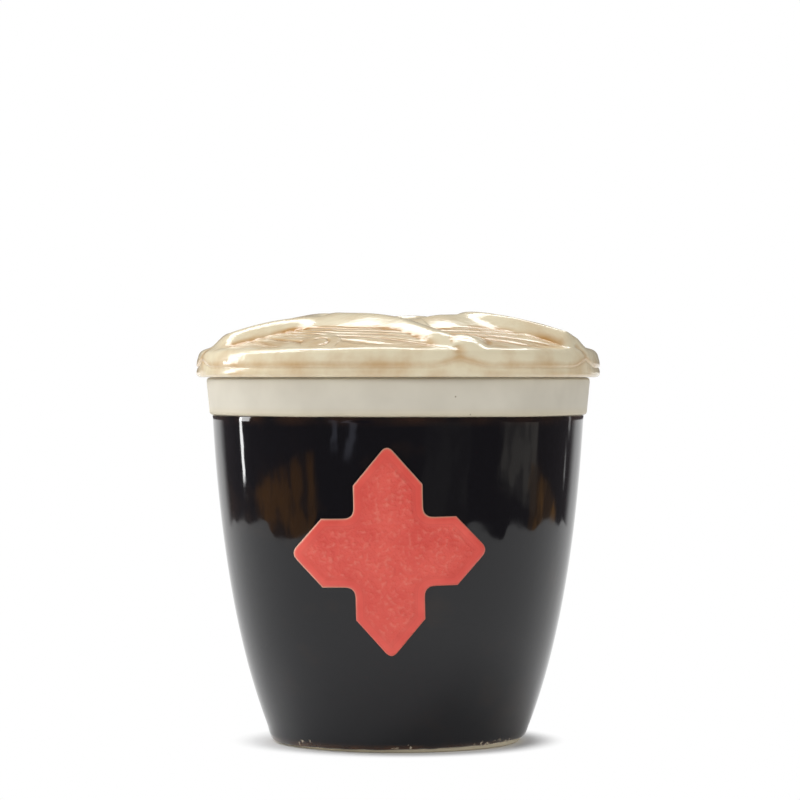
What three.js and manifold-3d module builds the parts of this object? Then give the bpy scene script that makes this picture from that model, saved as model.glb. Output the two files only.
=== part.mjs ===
// A stoneware condiment jar with a loose lid, in millimetres, +Z up, standing on z = 0.
// The front of the jar, with its red medallion, faces -Y.
import * as THREE from 'three';
import { mergeVertices } from 'three/addons/utils/BufferGeometryUtils.js';
import Module from 'manifold-3d';

// Clay pot
const potHeight = 90; // table to rim, without the lid
const collarRadius = 47.5; // widest place, at the top of the bare mouth collar
const collarHeight = 9.3;
const collarTaper = 0.7; // the collar is this much narrower at its lower edge
const collarEdge = 0.9; // rounding of the collar's edges
const collarStep = 1.5; // the glazed wall under the collar stands back by this much
const bellyRadius = 43; // the control point that bows the wall out
const bellyHeight = 28.5;
const footRadius = 30.8; // where the line of the glazed wall meets the table
const footChamfer = 0.6;
const baseHollowRadius = 24; // shallow hollow inside the foot ring
const baseHollowDepth = 1.5;
const clayWall = 3.5;
const clayFloor = 4;
const floorCorner = 7; // inside rounding between floor and wall

// Glaze coats and the bond line between a coat or a sprig and what it covers
const glazeThickness = 0.6;
const glazeFootHeight = 1.2; // bare clay shows below this
const linerThickness = 0.4;
const linerBareRim = 2; // bare clay inside the rim
const bondGap = 0.1;

// Red medallion: a cross of four pointed arms, seen from the front
const medallionHeight = 48.7; // its centre above the table
const medallionOffset = -2.1; // its centre to the side of the axis
const medallionTurn = 1.3; // degrees, anticlockwise
const medallionThickness = 1;
const armReachUp = 25.6; // centre to the tips of the upright arms
const armReachSide = 23.5; // centre to the tips of the level arms
const armShoulder = 16; // centre to where an arm starts to narrow
const armHalfWidth = 8.2;
const armTipRound = 2.2; // how far before a tip its rounding starts
const armCornerRound = 2.5; // rounding of the corners between two arms

// Lid
const lidOverhang = 2.5; // past the collar
const lidEdge = 0.9; // rounding of the rim's lower edge
const rimHeight = 3.9; // upright part of the rolled rim
const shelfHeight = 7.1; // where the rim ends and the petals start
const shelfWidth = 3; // from the outside of the rim in to the petals
const crownRise = 7.9; // from the shelf up to the middle of the lid
const lidHollowDepth = 11; // underside, from the seat up to its middle
const spigotClearance = 1; // around the locating ring, to the glazed mouth
const spigotWall = 3;
const spigotDepth = 7;
const spigotEdge = 0.8;

// Whorl of petals on the lid, each edged by a rounded ridge: the ridge climbs from the rim as a thick
// root beside the end of the one before it, arches round its petal and comes down to the rim again
const ridgeEnds = [-75, 16, 65, 137, 210]; // degrees at the rim, from the front towards +X
const ridgeHeights = [2.3, 2.4, 2, 2.3, 2.3]; // along the arch
const tailHeights = [2.2, 1.9, 2.5, 2.2, 2.2]; // where the ridge comes down
const rootHeights = [2.4, 3.2, 1.8, 3.6, 2.4];
const rootTops = [40, 22, 41, 22, 40]; // from the lid's axis to the upper end of a root
const rootFoot = 44.5; // from the lid's axis to the lower end of a root
const rootTurn = 4.5; // degrees from the end of the ridge before it to the root's foot
const rootLean = 0.7; // degrees that the root turns for each millimetre up
const rootWidth = 5.6; // from the middle of a root to its side
const rootFootHeight = 0.75; // share of the root's height that it has at its foot
const rootFade = 1; // a root dies out over this length at the rim
const archRadius = 20.5; // from the lid's axis to the crest, where the arch comes closest
const archTurn = 7; // how late and sharply the arch turns out to the rim
const archOverlap = 1.2; // share of its span that a ridge runs back past its start, coiling inwards
const archFadeIn = 1.3; // share of its span over which it rises there
const archCoil = 0.5; // how fast it coils in, as a share of the arch's radius
const ridgeFront = 8.6; // from the crest down to the petal
const ridgeBack = 3.2; // from the crest down to the middle of the lid
const ridgeFullness = 0.35; // 0 gives a round ridge, more a fuller one with a sharper foot
const tailFrom = 0.55; // share of the span where the ridge starts to come down
const tailTo = 0.92; // and where it has its end's widths and height
const tailFront = 3.8;
const tailBack = 7;
const tailFade = 3; // a ridge dies out over this length at the rim
const blendHeight = 2; // rounding where a root and its ridge meet
const petalTilt = 0.8; // a petal rises by this much from its start to its end
const petalLevel = 0.4; // share of the petal's span where it crosses the crown's plain surface

// Fineness of the facets
const roundSteps = 48;
const lidSteps = 120;
const wallSteps = 7;
const cornerSteps = 3;
const edgeSteps = 2;
const crownSteps = 22;
const hollowSteps = 5;

const shoulderHeight = potHeight - collarHeight;
const shoulderRadius = collarRadius - collarStep;
const glazeSkin = glazeThickness + bondGap;
const mouthRadius = shoulderRadius - glazeSkin - clayWall;
const cavityFloor = baseHollowDepth + clayFloor;
const linerTop = potHeight - linerBareRim;
const lidRadius = collarRadius + lidOverhang;
const shelfRadius = lidRadius - shelfWidth;
const spigotRadius = mouthRadius - bondGap - linerThickness - spigotClearance;
const spigotInnerRadius = spigotRadius - spigotWall;
const radians = THREE.MathUtils.degToRad;
const smooth = THREE.MathUtils.smoothstep;

const wasm = await Module();
wasm.setup();

const point = (radius, height) => new THREE.Vector2(radius, height);

// A profile turned about the jar's axis
function turned(profile, steps) {
  return new THREE.LatheGeometry(profile, steps).rotateX(Math.PI / 2);
}

// A quarter round between two points of a profile, with its corner
function roundEdge(start, corner, end, steps) {
  return new THREE.QuadraticBezierCurve(start, corner, end).getPoints(steps);
}

function solid(geometry) {
  const bare = geometry.clone();
  bare.deleteAttribute('normal');
  bare.deleteAttribute('uv');
  const merged = mergeVertices(bare);
  const mesh = new wasm.Mesh({
    numProp: 3,
    vertProperties: merged.attributes.position.array,
    triVerts: new Uint32Array(merged.index.array),
  });
  return new wasm.Manifold(mesh);
}

function surface(made) {
  const mesh = made.getMesh();
  const geometry = new THREE.BufferGeometry();
  geometry.setAttribute('position', new THREE.BufferAttribute(mesh.vertProperties, 3));
  geometry.setIndex(new THREE.BufferAttribute(mesh.triVerts, 1));
  geometry.computeVertexNormals();
  return geometry;
}

function piece(name, geometry, color, roughness) {
  const material = new THREE.MeshStandardMaterial({ color, roughness, metalness: 0 });
  const mesh = new THREE.Mesh(geometry, material);
  mesh.name = name;
  return mesh;
}

// The outside of the glazed wall: one bowed curve from the table to the shoulder
const wallCurve = new THREE.QuadraticBezierCurve(
  point(footRadius, 0),
  point(bellyRadius, bellyHeight),
  point(shoulderRadius, shoulderHeight),
);

function wallRadius(height) {
  const rise = 2 * bellyHeight;
  const bend = shoulderHeight - rise;
  const along = (2 * height) / (rise + Math.sqrt(rise * rise + 4 * bend * height));
  return wallCurve.getPoint(along).x;
}

// Points on the wall's curve, set in by some depth, from one height to another
function wallPoints(inset, from, to) {
  return Array.from({ length: wallSteps + 1 }, (_, step) => {
    const height = THREE.MathUtils.lerp(from, to, step / wallSteps);
    return point(wallRadius(height) - inset, height);
  });
}

// The inside of the pot from the middle of its floor up to a height in the mouth
function cavityPoints(inset, top) {
  const depth = glazeSkin + clayWall + inset;
  const floor = cavityFloor + inset;
  const cornerTop = floor + floorCorner;
  const cornerRadius = wallRadius(floor) - depth;
  return [
    point(0, floor),
    ...roundEdge(
      point(cornerRadius - floorCorner, floor),
      point(cornerRadius, floor),
      point(wallRadius(cornerTop) - depth, cornerTop),
      cornerSteps,
    ),
    ...wallPoints(depth, cornerTop, shoulderHeight).slice(1),
    point(mouthRadius - inset, top),
  ];
}

function potGeometry() {
  const clayFoot = footRadius - glazeSkin;
  const collarLow = collarRadius - collarTaper;
  const profile = [
    point(0, baseHollowDepth),
    point(baseHollowRadius, baseHollowDepth),
    point(baseHollowRadius, 0),
    point(clayFoot - footChamfer, 0),
    point(clayFoot, footChamfer),
    ...wallPoints(glazeSkin, glazeFootHeight, shoulderHeight),
    ...roundEdge(
      point(collarLow - collarEdge, shoulderHeight),
      point(collarLow, shoulderHeight),
      point(collarLow, shoulderHeight + collarEdge),
      edgeSteps,
    ),
    ...roundEdge(
      point(collarRadius, potHeight - collarEdge),
      point(collarRadius, potHeight),
      point(collarRadius - collarEdge, potHeight),
      edgeSteps,
    ),
    point(mouthRadius + collarEdge, potHeight),
    ...cavityPoints(0, potHeight - collarEdge).reverse(),
  ];
  return turned(profile, roundSteps);
}

function outerGlazeGeometry() {
  const top = shoulderHeight - bondGap;
  const outside = wallPoints(0, glazeFootHeight, top);
  const inside = wallPoints(glazeThickness, glazeFootHeight, top).reverse();
  return turned([...outside, ...inside, outside[0]], roundSteps);
}

function linerGeometry() {
  const outside = cavityPoints(bondGap, linerTop);
  const inside = cavityPoints(bondGap + linerThickness, linerTop).reverse();
  return turned([...outside, ...inside], roundSteps);
}

// The medallion's outline: four arms, each with two shoulders and a rounded point
function medallionShape() {
  const shape = new THREE.Shape();
  const turn = (across, along, arm) => {
    const angle = (arm * Math.PI) / 2 + radians(medallionTurn);
    return new THREE.Vector2(across, along).rotateAround(new THREE.Vector2(), angle);
  };
  for (let arm = 0; arm < 4; arm += 1) {
    const reach = arm % 2 === 0 ? armReachUp : armReachSide;
    const tip = turn(0, reach, arm);
    const rightShoulder = turn(armHalfWidth, armShoulder, arm);
    const leftShoulder = turn(-armHalfWidth, armShoulder, arm);
    const tipStart = tip.clone().add(rightShoulder.clone().sub(tip).setLength(armTipRound));
    const tipEnd = tip.clone().add(leftShoulder.clone().sub(tip).setLength(armTipRound));
    const armRoot = turn(-armHalfWidth, armHalfWidth + armCornerRound, arm);
    const corner = turn(-armHalfWidth, armHalfWidth, arm);
    const nextRoot = turn(-armHalfWidth - armCornerRound, armHalfWidth, arm);
    if (arm === 0) shape.moveTo(rightShoulder.x, rightShoulder.y);
    else shape.lineTo(rightShoulder.x, rightShoulder.y);
    shape.lineTo(tipStart.x, tipStart.y);
    shape.quadraticCurveTo(tip.x, tip.y, tipEnd.x, tipEnd.y);
    shape.lineTo(leftShoulder.x, leftShoulder.y);
    shape.lineTo(armRoot.x, armRoot.y);
    shape.quadraticCurveTo(corner.x, corner.y, nextRoot.x, nextRoot.y);
  }
  return shape;
}

// The medallion: a shell that follows the wall, cut to the outline from the front
function medallionGeometry() {
  const outlineReach = armReachUp + armHalfWidth;
  const low = Math.max(medallionHeight - outlineReach, glazeFootHeight);
  const high = Math.min(medallionHeight + outlineReach, shoulderHeight);
  const inside = wallPoints(-bondGap, low, high).reverse();
  const outside = wallPoints(-bondGap - medallionThickness, low, high);
  const shell = turned([...outside, ...inside, outside[0]], roundSteps);
  const outline = { depth: lidRadius, bevelEnabled: false, curveSegments: edgeSteps };
  const cutter = new THREE.ExtrudeGeometry(medallionShape(), outline)
    .rotateX(Math.PI / 2)
    .translate(medallionOffset, 0, medallionHeight);
  return surface(solid(shell).intersect(solid(cutter)));
}

// The section of a ridge: 1 at its crest and 0 from its foot on
function ridgeSection(distance, width) {
  const share = Math.min(1, Math.abs(distance) / width);
  return (1 - share * share) * (1 - ridgeFullness * share * share);
}

// The larger of two heights, with the line where they meet rounded over
function blended(first, second) {
  const near = Math.max(0, 1 - Math.abs(first - second) / blendHeight);
  const shared = Math.min(first, second, blendHeight);
  return Math.max(first, second) + (shared * near * near) / 4;
}

function onLid(radius, bearing) {
  return point(radius * Math.sin(radians(bearing)), -radius * Math.cos(radians(bearing)));
}

// Height of a ridge's root at a place on the lid
function rootHeight(place, start, index) {
  const turn = start + rootTurn;
  const top = rootTops[index];
  const axis = new THREE.Line3(
    new THREE.Vector3(...onLid(rootFoot, turn), 0),
    new THREE.Vector3(...onLid(top, turn + rootLean * (rootFoot - top)), 0),
  );
  const spot = new THREE.Vector3(...place, 0);
  const along = axis.closestPointToPointParameter(spot, true);
  const away = spot.distanceTo(axis.at(along, new THREE.Vector3()));
  const swell = rootFootHeight + along * (1 - along);
  const fade = smooth(shelfRadius - place.length(), 0, rootFade);
  return rootHeights[index] * swell * fade * ridgeSection(away, rootWidth);
}

// Height of a ridge, share of its span passed, and distance from its crest, positive on its petal
function ridgeAt(place, start, span, index) {
  const radius = place.length();
  const bearing = THREE.MathUtils.radToDeg(Math.atan2(place.x, -place.y));
  const along = THREE.MathUtils.euclideanModulo(bearing - start + archOverlap * span, 360);
  const share = along / span - archOverlap;
  const passed = Math.max(share, 0);
  const coil = 1 + archCoil * Math.min(share, 0);
  const reach = shelfRadius - archRadius;
  const arch = archRadius * coil + reach * passed ** archTurn;
  const rate = passed > 0 ? reach * archTurn * passed ** (archTurn - 1) : archRadius * archCoil;
  const outward = (radius - arch) / Math.hypot(1, rate / (radians(span) * arch));
  const late = smooth(share, tailFrom, tailTo);
  const width =
    outward > 0
      ? THREE.MathUtils.lerp(ridgeFront, tailFront, late) * coil
      : THREE.MathUtils.lerp(ridgeBack, tailBack, late);
  const tall =
    THREE.MathUtils.lerp(ridgeHeights[index], tailHeights[index], late) *
    smooth(share, -archOverlap, archFadeIn - archOverlap) *
    smooth(shelfRadius - radius, 0, tailFade);
  return { height: tall * ridgeSection(outward, width), share, outward };
}

// Height of the petals over the lid's plain crown, at a place on the lid
function petalRelief(place) {
  let raised = 0;
  let slant = 0;
  ridgeEnds.forEach((end, index) => {
    const start = ridgeEnds.at(index - 1);
    const span = THREE.MathUtils.euclideanModulo(end - start, 360);
    const { height, share, outward } = ridgeAt(place, start, span, index);
    raised = blended(raised, blended(height, rootHeight(place, start, index)));
    if (share >= 0 && share < 1) {
      slant = petalTilt * (share - petalLevel) * smooth(outward, -ridgeBack, tailFront);
    }
  });
  const bare = 1 - Math.min(1, raised / ridgeHeights[0]);
  return raised + slant * bare * smooth(shelfRadius - place.length(), 0, tailFade);
}

// The lid stands on its own seat, at height 0 here
function lidCapGeometry() {
  const hollow = new THREE.EllipseCurve(0, 0, spigotInnerRadius, lidHollowDepth, Math.PI / 2, 0, true);
  const crown = Array.from({ length: crownSteps }, (_, step) => {
    const share = 1 - (step + 1) / crownSteps;
    return point(shelfRadius * share, shelfHeight + crownRise * (1 - share * share));
  });
  const rim = [
    ...hollow.getPoints(hollowSteps),
    ...roundEdge(
      point(lidRadius - lidEdge, 0),
      point(lidRadius, 0),
      point(lidRadius, lidEdge),
      edgeSteps,
    ),
    ...roundEdge(
      point(lidRadius, rimHeight),
      point(lidRadius, shelfHeight),
      point(shelfRadius, shelfHeight),
      cornerSteps,
    ),
  ];
  const profile = [...rim, ...crown];
  const geometry = turned(profile, lidSteps);
  const places = geometry.attributes.position;
  for (let index = 0; index < places.count; index += 1) {
    if (index % profile.length >= rim.length) {
      const relief = petalRelief(point(places.getX(index), places.getY(index)));
      places.setZ(index, places.getZ(index) + relief);
    }
  }
  return geometry;
}

function spigotGeometry() {
  const profile = [
    point(spigotInnerRadius, 0),
    ...roundEdge(
      point(spigotInnerRadius, spigotEdge - spigotDepth),
      point(spigotInnerRadius, -spigotDepth),
      point(spigotInnerRadius + spigotEdge, -spigotDepth),
      edgeSteps,
    ),
    ...roundEdge(
      point(spigotRadius - spigotEdge, -spigotDepth),
      point(spigotRadius, -spigotDepth),
      point(spigotRadius, spigotEdge - spigotDepth),
      edgeSteps,
    ),
    point(spigotRadius, 0),
    point(spigotInnerRadius, 0),
  ];
  return turned(profile, roundSteps);
}

const jar = new THREE.Group();
jar.add(
  piece('stoneware_pot', potGeometry(), 0xd2ccbf, 0.6),
  piece('outer_glaze', outerGlazeGeometry(), 0x17130f, 0.08),
  piece('liner_glaze', linerGeometry(), 0x1c1713, 0.1),
  piece('red_medallion', medallionGeometry(), 0xd8504a, 0.5),
);

const lid = new THREE.Group();
lid.position.z = potHeight;
lid.add(
  piece('lid_cap', lidCapGeometry(), 0xe6d3b0, 0.15),
  piece('lid_spigot', spigotGeometry(), 0xd8cdb8, 0.5),
);

const condimentJar = new THREE.Group();
condimentJar.add(jar, lid);

export default condimentJar;
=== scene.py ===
import math
import bmesh
import bpy
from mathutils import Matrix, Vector, noise


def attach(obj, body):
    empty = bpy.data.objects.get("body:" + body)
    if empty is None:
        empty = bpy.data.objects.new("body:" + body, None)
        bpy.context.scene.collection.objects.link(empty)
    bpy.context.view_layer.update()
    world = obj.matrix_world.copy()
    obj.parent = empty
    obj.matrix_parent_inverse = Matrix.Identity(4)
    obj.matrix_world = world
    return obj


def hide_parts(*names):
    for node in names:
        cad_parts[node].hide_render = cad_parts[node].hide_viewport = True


# Looks of a stoneware condiment jar with a loose lid. Sizes are in millimetres, turned to metres by mm
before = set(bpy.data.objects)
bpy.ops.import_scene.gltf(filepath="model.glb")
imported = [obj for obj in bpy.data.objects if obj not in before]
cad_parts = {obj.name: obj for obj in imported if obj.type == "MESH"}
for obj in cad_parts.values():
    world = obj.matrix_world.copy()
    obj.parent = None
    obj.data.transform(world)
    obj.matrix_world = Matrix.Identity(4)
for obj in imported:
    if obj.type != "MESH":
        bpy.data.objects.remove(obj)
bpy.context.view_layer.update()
mm = 0.001
print("frame loaded:", ", ".join(sorted(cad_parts)))


def smoothStep(value, low, high):
    share = min(1.0, max(0.0, (value - low) / (high - low)))
    return share * share * (3 - 2 * share)


# 1 in the middle, 0 from its edge on, with a crease at the edge
def roll(distance, width):
    share = min(1.0, abs(distance) / width)
    return (1 - share * share) * (1 - 0.35 * share * share)


# Soft unevenness of a hand-finished surface, -1 to 1, for a place in mm
def uneven(x, y, z, size, seed=0.0):
    return noise.noise(Vector((x / size + seed, y / size - seed, z / size + 2 * seed)))


def bearingOf(x, y):
    return math.degrees(math.atan2(x, -y))  # 0 at the front, growing towards +X


def hexColour(text):
    channels = [int(text[i:i + 2], 16) / 255 for i in (0, 2, 4)]
    linear = [c / 12.92 if c <= 0.04045 else ((c + 0.055) / 1.055) ** 2.4 for c in channels]
    return (*linear, 1.0)


def addNode(tree, kind, settings=None, links=None):
    node = tree.nodes.new(kind)
    for name, value in (settings or {}).items():
        if isinstance(name, str) and hasattr(node, name):
            setattr(node, name, value)
        else:
            node.inputs[name].default_value = value
    for name, socket in (links or {}).items():
        tree.links.new(socket, node.inputs[name])
    return node


def newMaterial(name, settings):
    material = bpy.data.materials.new(name)
    material.use_nodes = True
    shader = material.node_tree.nodes["Principled BSDF"]
    for socket, value in settings.items():
        shader.inputs[socket].default_value = value
    return material, material.node_tree, shader


# A profile of (radius, height) points turned once round the jar's axis
def turnProfile(points, steps, closed=True):
    bm = bmesh.new()
    verts = [bm.verts.new((radius * mm, 0, height * mm)) for radius, height in points]
    edges = [bm.edges.new(pair) for pair in zip(verts, verts[1:])]
    if closed:
        edges.append(bm.edges.new((verts[-1], verts[0])))
    bmesh.ops.spin(bm, geom=verts + edges, cent=(0, 0, 0), axis=(0, 0, 1), dvec=(0, 0, 0),
                   angle=2 * math.pi, steps=steps, use_merge=True, use_duplicate=False)
    bmesh.ops.remove_doubles(bm, verts=bm.verts, dist=0.002 * mm)
    bmesh.ops.recalc_face_normals(bm, faces=bm.faces)
    return bm


# A rounded corner of a profile, from start to end
def roundCorner(start, corner, end, steps):
    points = []
    for step in range(steps + 1):
        t = step / steps
        weights = ((1 - t) ** 2, 2 * t * (1 - t), t * t)
        points.append(tuple(sum(w * p[i] for w, p in zip(weights, (start, corner, end))) for i in (0, 1)))
    return points


def makePiece(bm, name, body, node, material):
    mesh = bpy.data.meshes.new(name)
    for face in bm.faces:
        face.smooth = True
    bm.to_mesh(mesh)
    bm.free()
    mesh.materials.append(material)
    piece = bpy.data.objects.new(name, mesh)
    bpy.context.scene.collection.objects.link(piece)
    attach(piece, body)
    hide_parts(node)
    print("made", name, len(mesh.polygons), "faces")
    return piece


# Fired white stoneware, unglazed: matt, a little gritty, with warm and cool clouds and a few iron specks
stoneware = {"cool": "CBC5B6", "pale": "D5CFC0", "cloud": 14, "stained": "CDBE9C", "stainHeight": 2.2,
             "iron": "7A6A55", "speckSpacing": 3.4, "grit": 0.5}


def stonewareMaterial(stainFrom):
    material, tree, shader = newMaterial("bareStoneware",
                                         {"Roughness": 0.55, "IOR": 1.5, "Specular IOR Level": 0.35})
    place = addNode(tree, "ShaderNodeTexCoord").outputs["Object"]
    clouds = addNode(tree, "ShaderNodeTexNoise", {"Scale": 1 / (stoneware["cloud"] * mm), "Detail": 3.0},
                     {"Vector": place})
    cloudShare = addNode(tree, "ShaderNodeMapRange", {"From Min": 0.35, "From Max": 0.65},
                         {"Value": clouds.outputs["Fac"]})
    clay = addNode(tree, "ShaderNodeMix",
                   {"data_type": "RGBA", 6: hexColour(stoneware["cool"]), 7: hexColour(stoneware["pale"])},
                   {0: cloudShare.outputs["Result"]})
    # Warmer from a lower edge down, where glaze has bled into the clay
    height = addNode(tree, "ShaderNodeSeparateXYZ", None, {0: place}).outputs["Z"]
    stain = addNode(tree, "ShaderNodeMapRange",
                    {"From Min": (stainFrom + stoneware["stainHeight"]) * mm, "From Max": stainFrom * mm,
                     "To Max": 0.55}, {"Value": height})
    stained = addNode(tree, "ShaderNodeMix", {"data_type": "RGBA", 7: hexColour(stoneware["stained"])},
                      {0: stain.outputs["Result"], 6: clay.outputs[2]})
    # Iron specks, 0.4 mm across, in one cell out of five
    specks = addNode(tree, "ShaderNodeTexVoronoi", {"Scale": 1 / (stoneware["speckSpacing"] * mm)},
                     {"Vector": place})
    speckShare = addNode(tree, "ShaderNodeMapRange", {"From Min": 0.075, "From Max": 0.05, "To Max": 0.75},
                         {"Value": specks.outputs["Distance"]})
    chance = addNode(tree, "ShaderNodeSeparateXYZ", None, {0: specks.outputs["Color"]}).outputs["X"]
    some = addNode(tree, "ShaderNodeMath", {"operation": "GREATER_THAN", 1: 0.8}, {0: chance})
    speckled = addNode(tree, "ShaderNodeMath", {"operation": "MULTIPLY"},
                       {0: speckShare.outputs["Result"], 1: some.outputs[0]})
    colour = addNode(tree, "ShaderNodeMix", {"data_type": "RGBA", 7: hexColour(stoneware["iron"])},
                     {0: speckled.outputs[0], 6: stained.outputs[2]})
    tree.links.new(colour.outputs[2], shader.inputs["Base Color"])
    grit = addNode(tree, "ShaderNodeTexNoise", {"Scale": 1 / (stoneware["grit"] * mm), "Detail": 2.0},
                   {"Vector": place})
    bump = addNode(tree, "ShaderNodeBump", {"Strength": 0.12, "Distance": 0.05 * mm},
                   {"Height": grit.outputs["Fac"]})
    tree.links.new(bump.outputs["Normal"], shader.inputs["Normal"])
    return material


# Iron glaze fired to a deep gloss: black where thick, breaking to brown where it thins at its edges
blackGlaze = {"black": "0C0C10", "rust": "2E2015", "rustCloud": 22, "brown": "5A3A22", "brownCloud": 9,
              "topThins": 2.4, "footThins": 1.3, "clay": "B5A892", "chip": 1.3, "chipsFrom": 1.7,
              "chipsFull": 0.9, "peel": 5}


# The glaze reaches from low to high
def blackGlazeMaterial(name, low, high):
    material, tree, shader = newMaterial(name, {"Roughness": 0.05, "IOR": 1.46})
    place = addNode(tree, "ShaderNodeTexCoord").outputs["Object"]
    clouds = addNode(tree, "ShaderNodeTexNoise",
                     {"Scale": 1 / (blackGlaze["brownCloud"] * mm), "Detail": 4.0}, {"Vector": place})
    height = addNode(tree, "ShaderNodeSeparateXYZ", None, {0: place}).outputs["Z"]
    topThin = addNode(tree, "ShaderNodeMapRange",
                      {"From Min": (high - blackGlaze["topThins"]) * mm, "From Max": high * mm,
                       "To Max": 0.35}, {"Value": height})
    footThin = addNode(tree, "ShaderNodeMapRange",
                       {"From Min": (low + blackGlaze["footThins"]) * mm, "From Max": low * mm},
                       {"Value": height})
    thin = addNode(tree, "ShaderNodeMath", {"operation": "MAXIMUM"},
                   {0: topThin.outputs["Result"], 1: footThin.outputs["Result"]})
    patch = addNode(tree, "ShaderNodeMapRange", {"From Min": 0.3, "From Max": 0.75},
                    {"Value": clouds.outputs["Fac"]})
    broken = addNode(tree, "ShaderNodeMath", {"operation": "MULTIPLY"},
                     {0: thin.outputs[0], 1: patch.outputs["Result"]})
    # Rust clouds the black here and there, about two centimetres apart
    rust = addNode(tree, "ShaderNodeTexNoise",
                   {"Scale": 1 / (blackGlaze["rustCloud"] * mm), "Detail": 5.0, "Roughness": 0.62},
                   {"Vector": place})
    rustShare = addNode(tree, "ShaderNodeMapRange", {"From Min": 0.56, "From Max": 0.8, "To Max": 0.6},
                        {"Value": rust.outputs["Fac"]})
    black = addNode(tree, "ShaderNodeMix",
                    {"data_type": "RGBA", 6: hexColour(blackGlaze["black"]),
                     7: hexColour(blackGlaze["rust"])}, {0: rustShare.outputs["Result"]})
    brown = addNode(tree, "ShaderNodeMix", {"data_type": "RGBA", 7: hexColour(blackGlaze["brown"])},
                    {0: broken.outputs[0], 6: black.outputs[2]})
    # Small chips along the foot show the clay
    fine = addNode(tree, "ShaderNodeTexNoise", {"Scale": 1 / (blackGlaze["chip"] * mm), "Detail": 2.0},
                   {"Vector": place})
    chips = addNode(tree, "ShaderNodeMapRange", {"From Min": 0.57, "From Max": 0.63},
                    {"Value": fine.outputs["Fac"]})
    nearFoot = addNode(tree, "ShaderNodeMapRange",
                       {"From Min": (low + blackGlaze["chipsFrom"]) * mm,
                        "From Max": (low + blackGlaze["chipsFull"]) * mm}, {"Value": height})
    some = addNode(tree, "ShaderNodeMapRange", {"From Min": 0.56, "From Max": 0.62},
                   {"Value": clouds.outputs["Fac"]})
    chipShare = addNode(tree, "ShaderNodeMath", {"operation": "MULTIPLY"},
                        {0: chips.outputs["Result"], 1: nearFoot.outputs["Result"]})
    chipped = addNode(tree, "ShaderNodeMath", {"operation": "MULTIPLY"},
                      {0: chipShare.outputs[0], 1: some.outputs["Result"]})
    colour = addNode(tree, "ShaderNodeMix", {"data_type": "RGBA", 7: hexColour(blackGlaze["clay"])},
                     {0: chipped.outputs[0], 6: brown.outputs[2]})
    tree.links.new(colour.outputs[2], shader.inputs["Base Color"])
    gloss = addNode(tree, "ShaderNodeMapRange",
                    {"From Min": 0.3, "From Max": 0.7, "To Min": 0.03, "To Max": 0.09},
                    {"Value": clouds.outputs["Fac"]})
    tree.links.new(gloss.outputs["Result"], shader.inputs["Roughness"])
    peel = addNode(tree, "ShaderNodeTexNoise", {"Scale": 1 / (blackGlaze["peel"] * mm), "Detail": 1.0},
                   {"Vector": place})
    bump = addNode(tree, "ShaderNodeBump", {"Strength": 0.1, "Distance": 0.2 * mm},
                   {"Height": peel.outputs["Fac"]})
    tree.links.new(bump.outputs["Normal"], shader.inputs["Normal"])
    return material


# Red enamel brushed over raised clay: satin, stippled in its field, thin and pale along its edge. Its deep
# colour is painted shade along the step into the field, and its pale edge carries a painted highlight on the
# upper left
redEnamel = {"red": "D84E43", "bright": "E35D50", "cloud": 7, "deep": "A8322C", "rubbed": "E58F7C",
             "stipple": 1.1, "thin": "D9B79A"}


def redEnamelMaterial():
    material, tree, shader = newMaterial("redEnamel", {"Roughness": 0.4, "IOR": 1.5})
    place = addNode(tree, "ShaderNodeTexCoord").outputs["Object"]
    pale = addNode(tree, "ShaderNodeAttribute", {"attribute_name": "pale"}).outputs["Fac"]
    field = addNode(tree, "ShaderNodeAttribute", {"attribute_name": "field"}).outputs["Fac"]
    clouds = addNode(tree, "ShaderNodeTexNoise", {"Scale": 1 / (redEnamel["cloud"] * mm), "Detail": 3.0},
                     {"Vector": place})
    cloudShare = addNode(tree, "ShaderNodeMapRange", {"From Min": 0.35, "From Max": 0.65},
                         {"Value": clouds.outputs["Fac"]})
    enamel = addNode(tree, "ShaderNodeMix",
                     {"data_type": "RGBA", 6: hexColour(redEnamel["red"]),
                      7: hexColour(redEnamel["bright"])}, {0: cloudShare.outputs["Result"]})
    # Painted shade: darker red along the step from the border down to the field
    step = addNode(tree, "ShaderNodeMath", {"operation": "PINGPONG", 1: 0.16}, {0: field})
    deep = addNode(tree, "ShaderNodeMix", {"data_type": "RGBA", 7: hexColour(redEnamel["deep"])},
                   {0: step.outputs[0], 6: enamel.outputs[2]})
    # The stipple's high points are rubbed paler
    stipple = addNode(tree, "ShaderNodeTexNoise", {"Scale": 1 / (redEnamel["stipple"] * mm), "Detail": 2.0},
                      {"Vector": place})
    rubbed = addNode(tree, "ShaderNodeMapRange", {"From Min": 0.52, "From Max": 0.75, "To Max": 0.38},
                     {"Value": stipple.outputs["Fac"]})
    rubbedField = addNode(tree, "ShaderNodeMath", {"operation": "MULTIPLY"},
                          {0: rubbed.outputs["Result"], 1: field})
    worn = addNode(tree, "ShaderNodeMix", {"data_type": "RGBA", 7: hexColour(redEnamel["rubbed"])},
                   {0: rubbedField.outputs[0], 6: deep.outputs[2]})
    edged = addNode(tree, "ShaderNodeMix", {"data_type": "RGBA", 7: hexColour(redEnamel["thin"])},
                    {0: pale, 6: worn.outputs[2]})
    tree.links.new(edged.outputs[2], shader.inputs["Base Color"])
    rough = addNode(tree, "ShaderNodeMath", {"operation": "MULTIPLY"}, {0: stipple.outputs["Fac"], 1: field})
    bump = addNode(tree, "ShaderNodeBump", {"Strength": 1.0, "Distance": 0.5 * mm},
                   {"Height": rough.outputs[0]})
    tree.links.new(bump.outputs["Normal"], shader.inputs["Normal"])
    return material


# Clear amber glaze over cream clay: wet gloss, cream on what stands proud, honey-tan where it pools, and
# honey-tan as painted shade on the rim's band where it turns under and on the lip below it
creamGlaze = {"proud": "E6DABC", "poolAndShade": "BE9259", "cloud": 6, "ripple": 1.7, "lineBump": 0.5}


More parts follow.
